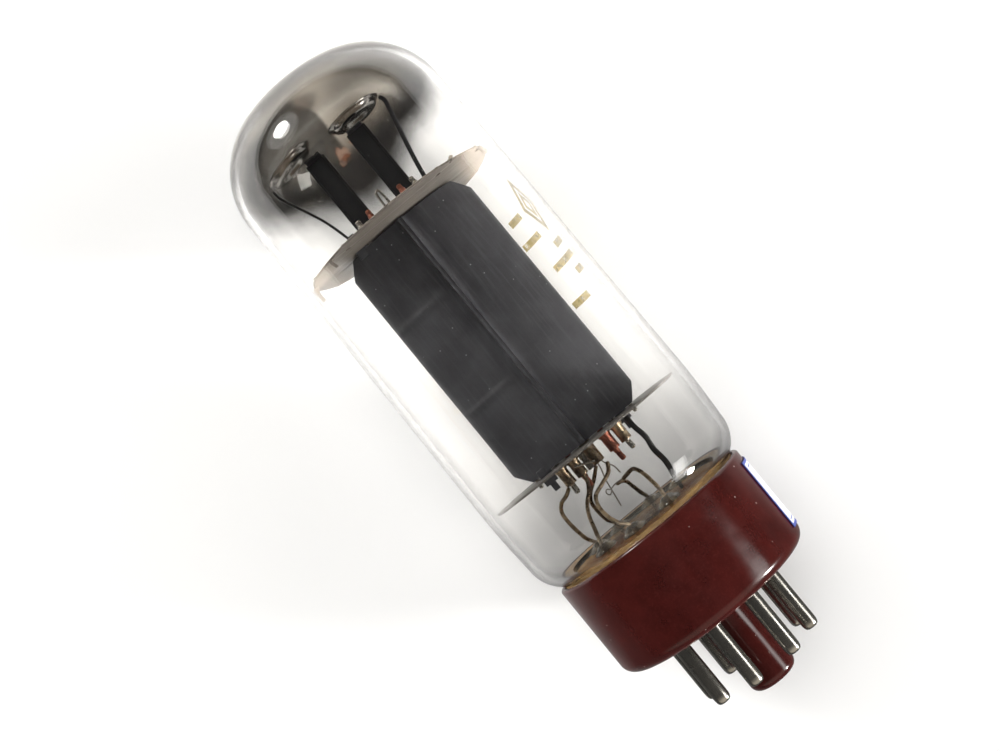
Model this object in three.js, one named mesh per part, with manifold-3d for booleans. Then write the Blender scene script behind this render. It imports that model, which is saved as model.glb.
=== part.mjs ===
// An octal-based power pentode with a large straight glass bulb.
// Z = 0 is the flat underside of the base, +Z runs up the tube's axis to the dome.
import * as THREE from "three";
import { mergeVertices } from "three/addons/utils/BufferGeometryUtils.js";
import Module from "manifold-3d";

const wasm = await Module();
wasm.setup();

// Driving dimensions, in millimetres.
const GAP = 0.3; // clearance between neighbouring pieces
const FACETS = 36; // sides of the large turned pieces

const BULB = {
  top: 96.6, // height of the crown
  crown: 32, // radius of the nearly flat crown
  shoulder: 12, // radius of the round between crown and side
  topRadius: 17.6,
  waistRadius: 18,
  waistZ: 30,
  heel: 6, // radius of the round above the base
  heelZ: 20.3,
  mouthRadius: 13, // opening that the stem closes
  wall: 1.1,
};
const BASE = { radius: 16.05, rim: 15.2, floor: 2.2, bore: 15.3, edge: 1.8 };
const KEY = { radius: 3.75, length: 13.5, round: 1.3, ribWidth: 2, ribReach: 1 };
const PIN = { count: 8, circle: 8.725, radius: 1.18, length: 10.6, collar: 1.8, bore: 0.78 };
const FIRST_PIN = -16; // degrees from -Y towards +X
const STEM = { radius: 12.7, bottom: 14.5, top: 15.6, circle: 8.1, bead: 1.15, beadTop: 16.6 };
const CEMENT = { inner: 8.5, outer: 15, bottom: 9.5, top: 14 };
const MICA = { radius: 15.9, tooth: 16.35, teeth: 12, thick: 0.3, low: 29.2, high: 70.8 };
const ANODE = { half: 10.9, depth: 4.6, sheet: 0.4, seam: 1, clipWide: 1.9, clipTall: 2.4 };
const GRIDS = {
  control: { post: 2.95, radius: 0.5, minor: 1.6, low: 24, high: 75.2, turns: 6 },
  screen: { post: 5.05, radius: 0.5, minor: 2.5, low: 24.4, high: 74.9, turns: 6 },
  suppressor: { post: 8.6, radius: 0.4, minor: 3.4, low: 28.2, high: 72.2, turns: 5 },
};
const CATHODE = { radius: 0.95, wall: 0.2, low: 26, high: 73.6 };
const LEAD_RADIUS = 0.3;
const DISH = { radius: 4.6, height: 1.1, z: 87 };
const DISHES = {
  left: { x: -7.3, y: 1.5, tilt: -13, strip: { x: -4.3, top: 86.6 } },
  right: { x: 4.5, y: 2.5, tilt: 0, strip: { x: 3.3, top: 86.4 } },
};
const STRIP = { width: 3.3, thick: 0.4, y: 4.2 };
const STICKER = { from: 68.5, sweep: 54, low: 2.2, high: 13.6, thick: 0.2 };

const degrees = THREE.MathUtils.degToRad;

// A point at an angle from -Y towards +X, which is how the pins are counted.
function around(radius, angle, z = 0) {
  const a = degrees(angle);
  return new THREE.Vector3(radius * Math.sin(a), -radius * Math.cos(a), z);
}

function pinAngle(index) {
  return FIRST_PIN + (360 / PIN.count) * index;
}

// Solid of a closed geometry, for joining and cutting.
function solid(geometry) {
  const bare = new THREE.BufferGeometry();
  bare.setAttribute("position", geometry.getAttribute("position"));
  if (geometry.index) bare.setIndex(geometry.index);
  const merged = mergeVertices(bare, 1e-4);
  return new wasm.Manifold(
    new wasm.Mesh({
      numProp: 3,
      vertProperties: new Float32Array(merged.attributes.position.array),
      triVerts: new Uint32Array(merged.index.array),
    }),
  );
}

function geometryOf(manifold) {
  const mesh = manifold.getMesh();
  const geometry = new THREE.BufferGeometry();
  geometry.setAttribute("position", new THREE.BufferAttribute(mesh.vertProperties, mesh.numProp));
  geometry.setIndex(new THREE.BufferAttribute(mesh.triVerts, 1));
  return geometry;
}

// Turned piece about Z. The profile runs as [radius, z] pairs up the outside and down the inside.
function turned(profile, facets = FACETS) {
  const points = profile.map(([r, z]) => new THREE.Vector2(r, z));
  return new THREE.LatheGeometry(points, facets).rotateX(Math.PI / 2);
}

// Points of an arc in a turned profile, from one angle to another, in degrees above the +R axis.
function arc(r, z, radius, from, to, steps) {
  const points = [];
  for (let i = 0; i <= steps; i++) {
    const a = degrees(from + ((to - from) * i) / steps);
    points.push([r + radius * Math.cos(a), z + radius * Math.sin(a)]);
  }
  return points;
}

function rod(radius, low, high, x = 0, y = 0, sides = 8) {
  const shape = new THREE.CylinderGeometry(radius, radius, high - low, sides);
  return shape.rotateX(Math.PI / 2).translate(x, y, (low + high) / 2);
}

function box(width, depth, height, x, y, z) {
  return new THREE.BoxGeometry(width, depth, height).translate(x, y, z);
}

function polygon(radius, sides) {
  const shape = new THREE.Shape();
  for (let i = 0; i < sides; i++) {
    const a = (2 * Math.PI * i) / sides;
    const move = i === 0 ? "moveTo" : "lineTo";
    shape[move](radius * Math.cos(a), radius * Math.sin(a));
  }
  return shape;
}

// Round wire through a list of [x, y, z] points.
function wire(points, radius, steps, sides = 6) {
  const path = new THREE.CatmullRomCurve3(points.map((p) => new THREE.Vector3(...p)));
  path.curveType = "centripetal";
  return new THREE.ExtrudeGeometry(polygon(radius, sides), { steps, extrudePath: path });
}

// Sheet cut to a plan outline and standing from one height to another.
function sheet(outline, low, high) {
  const shape = new THREE.Shape(outline.map(([x, y]) => new THREE.Vector2(x, y)));
  const options = { depth: high - low, bevelEnabled: false };
  return new THREE.ExtrudeGeometry(shape, options).translate(0, 0, low);
}

// The bulb's section: the crown and shoulder arcs are tangent, and the side tapers a little.
const SHOULDER_R = BULB.topRadius - BULB.shoulder;
const CROWN_Z = BULB.top - BULB.crown;
const SHOULDER_Z = CROWN_Z + Math.sqrt((BULB.crown - BULB.shoulder) ** 2 - SHOULDER_R ** 2);
const SHOULDER_TURN = THREE.MathUtils.radToDeg(Math.atan2(SHOULDER_Z - CROWN_Z, SHOULDER_R));
const HEEL_R = BULB.topRadius - BULB.heel;

// Half section of the bulb at a depth below its outer face, from the mouth up to the crown.
function bulbSide(inset, heelSteps = 4) {
  const heel = BULB.heel - inset;
  const mouth = -THREE.MathUtils.radToDeg(Math.acos((BULB.mouthRadius - HEEL_R) / heel));
  return [
    ...arc(HEEL_R, BULB.heelZ, heel, mouth, 0, heelSteps),
    [BULB.waistRadius - inset, BULB.waistZ],
    ...domeSide(inset, 6, 2),
  ];
}

function domeSide(inset, shoulderSteps, crownSteps) {
  const shoulder = arc(
    SHOULDER_R, SHOULDER_Z, BULB.shoulder - inset, 0, SHOULDER_TURN, shoulderSteps,
  );
  const crown = arc(0, CROWN_Z, BULB.crown - inset, SHOULDER_TURN, 90, crownSteps).slice(1);
  crown[crown.length - 1][0] = 0;
  return [...shoulder, ...crown];
}

function glassEnvelope() {
  const inside = bulbSide(BULB.wall).reverse();
  return turned([...bulbSide(0), ...inside, bulbSide(0)[0]]);
}

// The getter's deposit: a thin lining of the dome.
function getterMirror() {
  const lining = 0.2;
  const outside = domeSide(BULB.wall + 0.15, 4, 1);
  const inside = domeSide(BULB.wall + 0.15 + lining, 4, 1).reverse();
  return turned([...outside, ...inside, outside[0]]);
}

function stemDisc() {
  const disc = rod(STEM.radius, STEM.bottom, STEM.top, 0, 0, FACETS);
  const seam = STEM.bottom + 0.2;
  const tip = turned([[0, 8.5], [1, 9.2], [2.4, 13], [2.6, seam], [0, seam]], 16);
  let stem = solid(disc).add(solid(tip));
  for (const index of LEAD_PINS) {
    const at = around(STEM.circle, pinAngle(index));
    const profile = [
      [0, seam], [STEM.bead, STEM.top], [STEM.bead * 0.8, STEM.beadTop - 0.3],
      [STEM.bead * 0.45, STEM.beadTop], [0, STEM.beadTop],
    ];
    stem = stem.add(solid(turned(profile, 10).translate(at.x, at.y, 0)));
  }
  for (const index of LEAD_PINS) {
    const at = around(STEM.circle, pinAngle(index));
    stem = stem.subtract(solid(rod(LEAD_RADIUS + 0.15, 10, 20, at.x, at.y)));
  }
  return geometryOf(stem);
}

// Moulded cup with a rounded lower edge, the locating key and a hole for each pin.
function baseShell() {
  const outside = [
    [0, 0],
    ...arc(BASE.radius - BASE.edge, BASE.edge, BASE.edge, -90, 0, 4),
    [BASE.radius, BASE.rim - GAP],
    [BASE.radius - GAP, BASE.rim],
  ];
  const inside = [[BASE.bore, BASE.rim], [BASE.bore, BASE.floor], [0, BASE.floor]];
  let cup = solid(turned([...outside, ...inside], 48)).add(locatingKey());
  for (let i = 0; i < PIN.count; i++) {
    const at = around(PIN.circle, pinAngle(i));
    cup = cup.subtract(solid(rod(PIN.radius + GAP, -1, BASE.floor + 1, at.x, at.y, 12)));
  }
  return geometryOf(cup);
}

// Round spigot with a rib half way between two pins.
function locatingKey() {
  const low = -KEY.length;
  const profile = [
    [0, low],
    ...arc(KEY.radius - KEY.round, low + KEY.round, KEY.round, -90, 0, 3),
    [KEY.radius, 1],
    [0, 1],
  ];
  const angle = pinAngle(4.5);
  const reach = KEY.radius + KEY.ribReach;
  const rib = box(KEY.ribWidth, reach, KEY.length - 1, 0, -reach / 2, (1 - KEY.length) / 2 + 0.5);
  rib.rotateZ(degrees(angle));
  return solid(turned(profile, 24)).add(solid(rib));
}

// Tubular pin with a rounded end, a collar above the base floor and a bore for its lead.
function pin(index) {
  const at = around(PIN.circle, pinAngle(index));
  const collarLow = BASE.floor + GAP;
  const collarHigh = collarLow + 0.7;
  const profile = [
    [0, -PIN.length],
    [PIN.radius * 0.55, -PIN.length],
    [PIN.radius * 0.9, -PIN.length + 0.45],
    [PIN.radius, -PIN.length + 1.1],
    [PIN.radius, collarLow],
    [PIN.collar, collarLow],
    [PIN.collar, collarHigh],
    [PIN.bore, collarHigh],
    [PIN.bore, -PIN.length + 2],
    [0, -PIN.length + 2],
  ];
  return turned(profile, 12).translate(at.x, at.y, 0);
}

function cementRing() {
  const { inner, outer, bottom, top } = CEMENT;
  return turned([[inner, bottom], [outer, bottom], [outer, top], [inner, top], [inner, bottom]]);
}

// Disc with small spikes that grip the glass, and a hole for each part that passes through it.
function mica(z, extraHoles) {
  const outline = [];
  const step = 360 / MICA.teeth;
  for (let i = 0; i < MICA.teeth; i++) {
    const start = i * step + step / 2;
    for (const share of [0.05, 0.35, 0.65, 0.95]) {
      const p = around(MICA.radius, start + step * share);
      outline.push([p.x, p.y]);
    }
    const tip = around(MICA.tooth, start + step);
    outline.push([tip.x, tip.y]);
  }
  let disc = solid(sheet(outline, z - MICA.thick / 2, z + MICA.thick / 2));
  const cut = (hole) => {
    disc = disc.subtract(solid(hole));
  };
  for (const grid of Object.values(GRIDS)) {
    for (const side of [-1, 1]) cut(rod(grid.radius + 0.2, z - 1, z + 1, side * grid.post, 0));
  }
  cut(rod(CATHODE.radius + 0.2, z - 1, z + 1, 0, 0, 12));
  extraHoles.forEach(cut);
  return geometryOf(disc);
}

// Plan outline of one pressed half: a channel that narrows to the side edge, with a seam flange.
function anodeOutline(side) {
  const { half, depth, sheet: t, seam } = ANODE;
  const outer = [
    [0.2, -depth - seam], [0.2 + t, -depth - seam], [0.2 + t, -depth],
    [3.4, -depth], [7.4, -depth * 0.72], [10.1, -depth * 0.34], [half, -0.5],
  ];
  const inner = [
    [half - t * 1.3, 0], [9.6, -depth * 0.34 + t], [7.1, -depth * 0.72 + t],
    [3.3, -depth + t], [0.2, -depth + t],
  ];
  const mirrorY = ([x, y]) => [x, -y];
  const ring = [
    ...outer, ...outer.map(mirrorY).reverse(),
    ...inner.slice(1).map(mirrorY).reverse(), ...inner,
  ];
  return ring.map(([x, y]) => [side * x, y]);
}

// One half of the anode: clipped corners, tabs through the micas and two pressed ribs on one face.
function anodeHalf(side) {
  const low = MICA.low + MICA.thick / 2 + GAP;
  const high = MICA.high - MICA.thick / 2 - GAP;
  const outline = anodeOutline(side);
  if (side < 0) outline.reverse();
  let half = solid(sheet(outline, low, high));
  for (const share of [0.3, 0.675]) {
    half = half.add(anodeRib(side, high - (high - low) * share));
  }
  for (const z of [low, high]) {
    half = half.subtract(anodeClip(side, z));
    half = half.add(anodeTab(side, z, z === low ? -1 : 1));
  }
  return geometryOf(half);
}

function anodeRib(side, z) {
  const { depth, sheet: t, half } = ANODE;
  const tall = 1.1;
  const raise = 0.3;
  const face = [
    [1.6, -depth - raise], [3.4, -depth - raise], [7.5, -depth * 0.72 - raise],
    [10.3, -depth * 0.34 - raise], [half + 0.12, -0.6], [half - t, -0.6],
    [9.8, -depth * 0.34 + t / 2], [7.2, -depth * 0.72 + t / 2], [3.3, -depth + t / 2],
    [1.6, -depth + t / 2],
  ];
  // The two halves are the same pressing turned half round, so the ribs face opposite ways.
  const outline = face.map(([x, y]) => [side * x, -side * y]);
  return solid(sheet(outline, z - tall / 2, z + tall / 2));
}

function anodeClip(side, z) {
  const { half, clipWide, clipTall } = ANODE;
  const wedge = new THREE.Shape();
  wedge.moveTo(-clipWide, 0);
  wedge.lineTo(0, -clipTall);
  wedge.lineTo(clipWide, 0);
  wedge.lineTo(0, clipTall);
  const bar = new THREE.ExtrudeGeometry(wedge, { depth: 12, bevelEnabled: false });
  return solid(bar.translate(0, 0, -6).rotateX(Math.PI / 2).translate(side * half, 0, z));
}

// Tab of the sheet that goes through a slot in the mica; the tongue on its end is bent to hold it.
function anodeTab(side, z, way) {
  const x = side * TAB.x;
  const shank = box(TAB.width, TAB.thick, 2.2, x, TAB.y * side, z + way * 0.6);
  const tongue = box(TAB.tongue, TAB.thick, 2.8, x, TAB.y * side, z + way * (TAB.reach - 1.4));
  return solid(shank).add(solid(tongue));
}

const TAB = { x: 6.9, y: 3.35, width: 2, tongue: 0.95, thick: 0.6, reach: 2.9 };

function tabSlots(z) {
  return [-1, 1].map((side) =>
    box(TAB.width + 0.5, TAB.thick + 0.5, 2, side * TAB.x, side * TAB.y, z),
  );
}

// Two posts joined by oval turns of wire.
function grid({ post, radius, minor, low, high, turns }) {
  const wireSize = 0.24;
  const inside = { low: MICA.low + 2.5, high: MICA.high - 2.5 };
  let winding = solid(rod(radius, low, high, -post)).add(solid(rod(radius, low, high, post)));
  for (let i = 0; i < turns; i++) {
    const z = inside.low + ((inside.high - inside.low) * i) / (turns - 1);
    const turn = oval(post, minor, 12);
    turn.holes.push(oval(post - wireSize, minor - wireSize, 12));
    const loop = new THREE.ExtrudeGeometry(turn, { depth: wireSize, bevelEnabled: false });
    winding = winding.add(solid(loop.translate(0, 0, z)));
  }
  return geometryOf(winding);
}

function oval(a, b, sides) {
  const shape = new THREE.Shape();
  for (let i = 0; i < sides; i++) {
    const t = (2 * Math.PI * i) / sides;
    const move = i === 0 ? "moveTo" : "lineTo";
    shape[move](a * Math.cos(t), b * Math.sin(t));
  }
  return shape;
}

function cathodeSleeve() {
  const { radius, wall, low, high } = CATHODE;
  const bore = radius - wall;
  return turned([[bore, low], [radius, low], [radius, high], [bore, high], [bore, low]], 12);
}

// Hairpin heater: its two legs leave the bottom of the sleeve as bare tails.
function heater() {
  const strand = 0.16;
  const spread = 0.3;
  const leg = (side, tail) => [...tail, [side * spread, 0, 26], [side * spread, 0, 68]];
  const left = leg(-1, [[-1.6, -0.3, 19.2], [-1.2, -0.2, 21.8], [-0.9, 0, 23.6]]);
  const right = leg(1, [[1.35, -0.2, 22.9], [1.2, -0.1, 24.2]]);
  const bend = [[-spread, 0, 67.8], [-spread, 0, 68.3], [spread, 0, 68.3], [spread, 0, 67.8]];
  return geometryOf(
    solid(wire(left, strand, 16, 5))
      .add(solid(wire(right, strand, 12, 5)))
      .add(solid(wire(bend, strand, 6, 5))),
  );
}

// Small wire staple that holds the top of the cathode on the mica.
function cathodeStay() {
  const foot = MICA.high + MICA.thick / 2 + GAP;
  const points = [
    [-0.45, -1.6, foot], [-0.4, -1.6, 75], [-0.25, -1.6, 76], [0.15, -1.6, 76.1],
    [0.35, -1.6, 75.2], [0.4, -1.6, foot],
  ];
  return wire(points, 0.2, 18);
}

// Crimped sleeve round a grid post under the bottom mica.
function postClip(post) {
  const bore = GRIDS.control.radius + 0.15;
  const outside = bore + 0.2;
  const low = 26;
  const high = MICA.low - MICA.thick / 2 - GAP;
  const profile = [[bore, low], [outside, low], [outside, high], [bore, high], [bore, low]];
  return turned(profile, 8).translate(post, 0, 0);
}

// Blackened strip that carries a getter dish, with a short foot on the mica.
function getterStrip(dish) {
  const { x, top } = dish.strip;
  const foot = MICA.high + MICA.thick / 2 + GAP;
  const upright = box(STRIP.width, STRIP.thick, top - foot, x, STRIP.y, (top + foot) / 2);
  const sole = box(STRIP.width, 1.8, STRIP.thick, x, STRIP.y + 0.8, foot + STRIP.thick / 2);
  const reach = STRIP.y - dish.y;
  const arm = box(STRIP.width * 0.8, reach + 0.4, STRIP.thick, x, STRIP.y - reach / 2, top);
  return geometryOf(solid(upright).add(solid(sole)).add(solid(arm)));
}

// Shallow round pan with a rolled rim and a raised middle, open towards the dome.
function getterDish({ x, y, tilt }) {
  const { radius, height, z } = DISH;
  const profile = [
    [0, 0.45], [1.6, 0.45], [2.2, 0], [3.7, 0], [4.1, height * 0.6], [radius, height * 0.75],
    [radius, height], [3.9, height], [3.5, 0.3], [2.4, 0.3], [1.8, 0.75], [0, 0.75],
  ];
  const pan = turned(profile, 20);
  return pan.rotateY(degrees(tilt)).translate(x, y, z);
}

// Stay from the rim of a dish down to the mica, round on one side and flat on the other.
function getterBrace(side) {
  const foot = MICA.high + MICA.thick / 2 + GAP;
  if (side < 0) {
    const route = [[-11.5, 0.6, 84.6], [-11.1, 0.6, 83.4], [-8.6, 0.6, 77.6], [-7, 0.6, foot]];
    return wire(route, 0.2, 16);
  }
  const route = [[9.4, 1.5, 86.4], [9.1, 1.5, 84.9], [7.6, 1.5, 77.2], [6.7, 1.5, foot]];
  return wire(route, 0.3, 12, 4);
}

// Route of each lead above the stem, from just over its bead to the part it feeds.
const LEADS = {
  screen_lead: {
    pin: 6,
    route: [
      [-8.4, 2, 18], [-8.8, 1.6, 20], [-9, 1.2, 22.4], [-8.8, 0.9, 23.8],
      [-8, 0.6, 24.8], [-7, 0.3, 25.1], [-6.2, 0, 25.5],
    ],
  },
  control_lead: {
    pin: 7,
    route: [
      [-6.9, -3.6, 18], [-6.3, -3.2, 20.4], [-5.8, -2.8, 22.2], [-4.8, -2.4, 23.4],
      [-3.4, -1.9, 24.2], [-2.8, -1.4, 25.1],
    ],
  },
  suppressor_lead: {
    pin: 5,
    route: [
      [-4.7, 6, 18], [-4.9, 5, 20], [-4.5, 4, 22], [-3.4, 3.2, 23.2],
      [-2, 2.4, 24.2], [-1, 1.9, 25.4],
    ],
  },
  cathode_lead: {
    pin: 0,
    route: [
      [-3.2, -6.6, 17.8], [-3.9, -5.8, 19.6], [-4, -5, 21.6], [-3.4, -4.2, 22.8],
      [-1.6, -3.2, 23.5], [0.1, -2.3, 24.2], [0.9, -1.7, 25.4],
    ],
  },
  heater_lead_rear: {
    pin: 4,
    route: [[1.9, 6.6, 18.2], [1.5, 5, 20], [1.2, 3.2, 21.2], [0.6, 1.4, 21.8], [-0.2, 0.9, 21.9]],
  },
  heater_lead_front: {
    pin: 1,
    route: [
      [4, -5.6, 18.2], [3.8, -4.2, 20.4], [3.4, -2.4, 21.8], [2.9, -1.2, 22.3],
      [2, -0.9, 22.2], [0.9, -0.8, 22],
    ],
  },
};
const ANODE_LEAD_PIN = 3;
const LEAD_PINS = [...Object.values(LEADS).map((lead) => lead.pin), ANODE_LEAD_PIN];

// Points of a lead inside the base: up the pin, across to the stem and through its bead.
function leadTail(pinIndex) {
  const inPin = around(PIN.circle, pinAngle(pinIndex));
  const inStem = around(STEM.circle, pinAngle(pinIndex));
  return [
    [inPin.x, inPin.y, -2], [inPin.x, inPin.y, 5], [inStem.x, inStem.y, 9],
    [inStem.x, inStem.y, STEM.bottom - 1], [inStem.x, inStem.y, STEM.beadTop],
  ];
}

function lead({ pin: index, route }) {
  return wire([...leadTail(index), ...route], LEAD_RADIUS, 26);
}

// The anode's lead is a flat strip above the stem and a round wire below it.
function anodeLead() {
  const top = [7.3, 1.6, 25.6];
  const tail = leadTail(ANODE_LEAD_PIN);
  const shank = solid(wire([...tail.slice(0, 4), [...tail[4].slice(0, 2), 17.4]], LEAD_RADIUS, 14));
  const blade = new THREE.Shape();
  blade.moveTo(-0.4, -0.15);
  blade.lineTo(0.4, -0.15);
  blade.lineTo(0.4, 0.15);
  blade.lineTo(-0.4, 0.15);
  const path = new THREE.CatmullRomCurve3([
    new THREE.Vector3(tail[4][0], tail[4][1], 17),
    new THREE.Vector3(7, 3.2, 19.6),
    new THREE.Vector3(6.9, 2.4, 22.4),
    new THREE.Vector3(...top),
  ]);
  const strip = new THREE.ExtrudeGeometry(blade, { steps: 8, extrudePath: path });
  return geometryOf(shank.add(solid(strip)));
}

// Paper label round part of the base.
function baseSticker() {
  const steps = 10;
  const near = BASE.radius + 0.08;
  const outline = [];
  for (let i = 0; i <= steps; i++) {
    const p = around(near + STICKER.thick, STICKER.from + (STICKER.sweep * i) / steps);
    outline.push([p.x, p.y]);
  }
  for (let i = steps; i >= 0; i--) {
    const p = around(near, STICKER.from + (STICKER.sweep * i) / steps);
    outline.push([p.x, p.y]);
  }
  return sheet(outline, STICKER.low, STICKER.high);
}

const COLOURS = {
  glass: { color: 0xdfe6e4, roughness: 0.05, metalness: 0 },
  mirror: { color: 0xb4afa6, roughness: 0.15, metalness: 1 },
  phenolic: { color: 0x4a1216, roughness: 0.25, metalness: 0 },
  nickel: { color: 0xb9b4a8, roughness: 0.25, metalness: 1 },
  cement: { color: 0x8a5a26, roughness: 0.7, metalness: 0 },
  mica: { color: 0xcdb8a8, roughness: 0.3, metalness: 0 },
  carbonised: { color: 0x2a2a2c, roughness: 0.6, metalness: 0.4 },
  copper: { color: 0x9a4a32, roughness: 0.35, metalness: 1 },
  brightNickel: { color: 0x8f8676, roughness: 0.3, metalness: 1 },
  heaterCoat: { color: 0xd8d4cc, roughness: 0.8, metalness: 0 },
  lead: { color: 0x6e5a40, roughness: 0.3, metalness: 1 },
  paper: { color: 0xf2f2f4, roughness: 0.8, metalness: 0 },
};

const tube = new THREE.Group();

function place(name, geometry, material) {
  const mesh = new THREE.Mesh(geometry, new THREE.MeshStandardMaterial(COLOURS[material]));
  mesh.name = name;
  tube.add(mesh);
}

place("glass_envelope", glassEnvelope(), "glass");
place("getter_mirror", getterMirror(), "mirror");
place("stem_disc", stemDisc(), "glass");
place("base_shell", baseShell(), "phenolic");
place("cement_ring", cementRing(), "cement");
place("base_sticker", baseSticker(), "paper");
for (let i = 0; i < PIN.count; i++) place(`pin_${i + 1}`, pin(i), "nickel");

place("top_mica", mica(MICA.high, tabSlots(MICA.high)), "mica");
place("bottom_mica", mica(MICA.low, tabSlots(MICA.low)), "mica");
place("anode_left_half", anodeHalf(-1), "carbonised");
place("anode_right_half", anodeHalf(1), "carbonised");
place("control_grid", grid(GRIDS.control), "copper");
place("screen_grid", grid(GRIDS.screen), "brightNickel");
place("suppressor_grid", grid(GRIDS.suppressor), "brightNickel");
place("cathode_sleeve", cathodeSleeve(), "brightNickel");
place("heater", heater(), "heaterCoat");
place("cathode_stay", cathodeStay(), "nickel");
const CLIPS = { control: GRIDS.control.post, screen: GRIDS.screen.post };
for (const [name, post] of Object.entries(CLIPS)) {
  place(`${name}_clip_left`, postClip(-post), "brightNickel");
  place(`${name}_clip_right`, postClip(post), "brightNickel");
}

place("getter_strip_left", getterStrip(DISHES.left), "carbonised");
place("getter_strip_right", getterStrip(DISHES.right), "carbonised");
place("getter_dish_left", getterDish(DISHES.left), "nickel");
place("getter_dish_right", getterDish(DISHES.right), "nickel");
place("getter_brace_left", getterBrace(-1), "nickel");
place("getter_brace_right", getterBrace(1), "carbonised");

for (const [name, route] of Object.entries(LEADS)) place(name, lead(route), "lead");
place("anode_lead", anodeLead(), "carbonised");

export default tube;
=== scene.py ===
"""Looks of a glass power vacuum tube with an octal base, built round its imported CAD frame."""

import math
from types import SimpleNamespace as Sizes

import bmesh
import bpy
from mathutils import Matrix, Vector, noise


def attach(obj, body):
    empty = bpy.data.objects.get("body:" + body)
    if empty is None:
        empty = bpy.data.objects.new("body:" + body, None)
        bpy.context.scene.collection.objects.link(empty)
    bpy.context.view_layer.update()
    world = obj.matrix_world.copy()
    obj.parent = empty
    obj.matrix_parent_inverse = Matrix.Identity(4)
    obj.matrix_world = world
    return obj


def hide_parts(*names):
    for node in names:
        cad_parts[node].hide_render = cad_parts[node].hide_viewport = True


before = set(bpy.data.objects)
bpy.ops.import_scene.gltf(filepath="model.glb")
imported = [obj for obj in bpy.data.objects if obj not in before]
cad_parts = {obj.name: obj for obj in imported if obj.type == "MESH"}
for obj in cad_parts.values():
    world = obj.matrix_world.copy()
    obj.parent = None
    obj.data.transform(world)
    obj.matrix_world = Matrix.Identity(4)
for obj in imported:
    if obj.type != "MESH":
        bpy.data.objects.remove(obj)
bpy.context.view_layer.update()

MM = 0.001
scene = bpy.context.scene

# Driving dimensions in millimetres, as in the CAD source.
BULB = Sizes(top=96.6, crown=32, shoulder=12, top_radius=17.6, waist_radius=18, waist_z=30,
             heel=6, heel_z=20.3, mouth_radius=13, wall=1.1)
BASE = Sizes(radius=16.05, rim=15.2, floor=2.2, bore=15.3, edge=1.8)
KEY = Sizes(radius=3.75, length=13.5, round=1.3, rib_width=2, rib_reach=1)
PIN = Sizes(count=8, circle=8.725, radius=1.18, length=10.6, collar=1.8)
FIRST_PIN = -16
STEM = Sizes(circle=8.1, bead=1.25, bead_top=16.7)
MICA = Sizes(radius=15.9, spike=16.3, thick=0.3, low=29.2, high=70.8)
ANODE = Sizes(half=10.9, depth=4.6, sheet=0.4, seam=1, clip_wide=1.9, clip_tall=2.4,
              low=29.65, high=70.35)
TAB = Sizes(x=6.9, y=3.35)
POST = dict(control=2.95, screen=5.05, suppressor=8.6)
STRIP = Sizes(width=3.3, thick=0.4, y=4.2, foot=71.25)
STICKER = Sizes(start=68.5, sweep=54, low=2.2, high=13.6, width=15.2)
SHOULDER_R = BULB.top_radius - BULB.shoulder
CROWN_Z = BULB.top - BULB.crown
SHOULDER_Z = CROWN_Z + math.sqrt((BULB.crown - BULB.shoulder) ** 2 - SHOULDER_R ** 2)
SHOULDER_TURN = math.degrees(math.atan2(SHOULDER_Z - CROWN_Z, SHOULDER_R))
HEEL_R = BULB.top_radius - BULB.heel

# The mirror film's lower edge at the rear, its rise at the front, its drop in the rear's middle
# and the height in which it thins out, then a painted reflection of a getter dish and a copper spot.
FILM = Sizes(edge=79.4, front_rise=10, centre_drop=3.6, fade=6.5)
PATCH = Sizes(x=-7.2, z=90, half_width=10, half_height=7)
COPPER_SPOT = Sizes(x=-0.4, z=87.3, radius=1.8)

# Angles in degrees, lens and sensor in millimetres, place in metres.
CAMERA = Sizes(yaw=-0.874, pitch=-2.763, roll=39.416, lens=52.09, sensor=36, y=-0.2075, z=0.0345)
TABLE = Sizes(half=4.0, y=0.0185, squares=8)


# ---------------- camera and lamps

def placed(name, data):
    obj = bpy.data.objects.new(name, data)
    scene.collection.objects.link(obj)
    return obj


def place_camera():
    """The camera leans with the tube: the dome is up and left, the pins down and right."""
    yaw, pitch, roll = map(math.radians, (CAMERA.yaw, CAMERA.pitch, CAMERA.roll))
    side = Vector((math.cos(yaw), -math.sin(yaw), 0))
    ahead = Vector((math.sin(yaw), math.cos(yaw), 0))
    forward = ahead * math.cos(pitch) - Vector((0, 0, 1)) * math.sin(pitch)
    over = ahead * math.sin(pitch) + Vector((0, 0, 1)) * math.cos(pitch)
    right = side * math.cos(roll) - over * math.sin(roll)
    up = side * math.sin(roll) + over * math.cos(roll)
    data = bpy.data.cameras.new("Camera")
    data.sensor_width = CAMERA.sensor
    data.lens = CAMERA.lens
    data.clip_start = 0.01
    data.clip_end = 20
    camera = placed("Camera", data)
    turn = Matrix((right, up, -forward)).transposed().to_4x4()
    camera.matrix_world = Matrix.Translation((0, CAMERA.y, CAMERA.z)) @ turn
    scene.camera = camera
    return right, up


VIEW_RIGHT, VIEW_UP = place_camera()
TABLE_UP = Vector((0, -1, 0))
TUBE_AXIS = Vector((0, 0, 1))
CENTRE = Vector((0, 0, (BULB.top - KEY.length) / 2 * MM))


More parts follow.
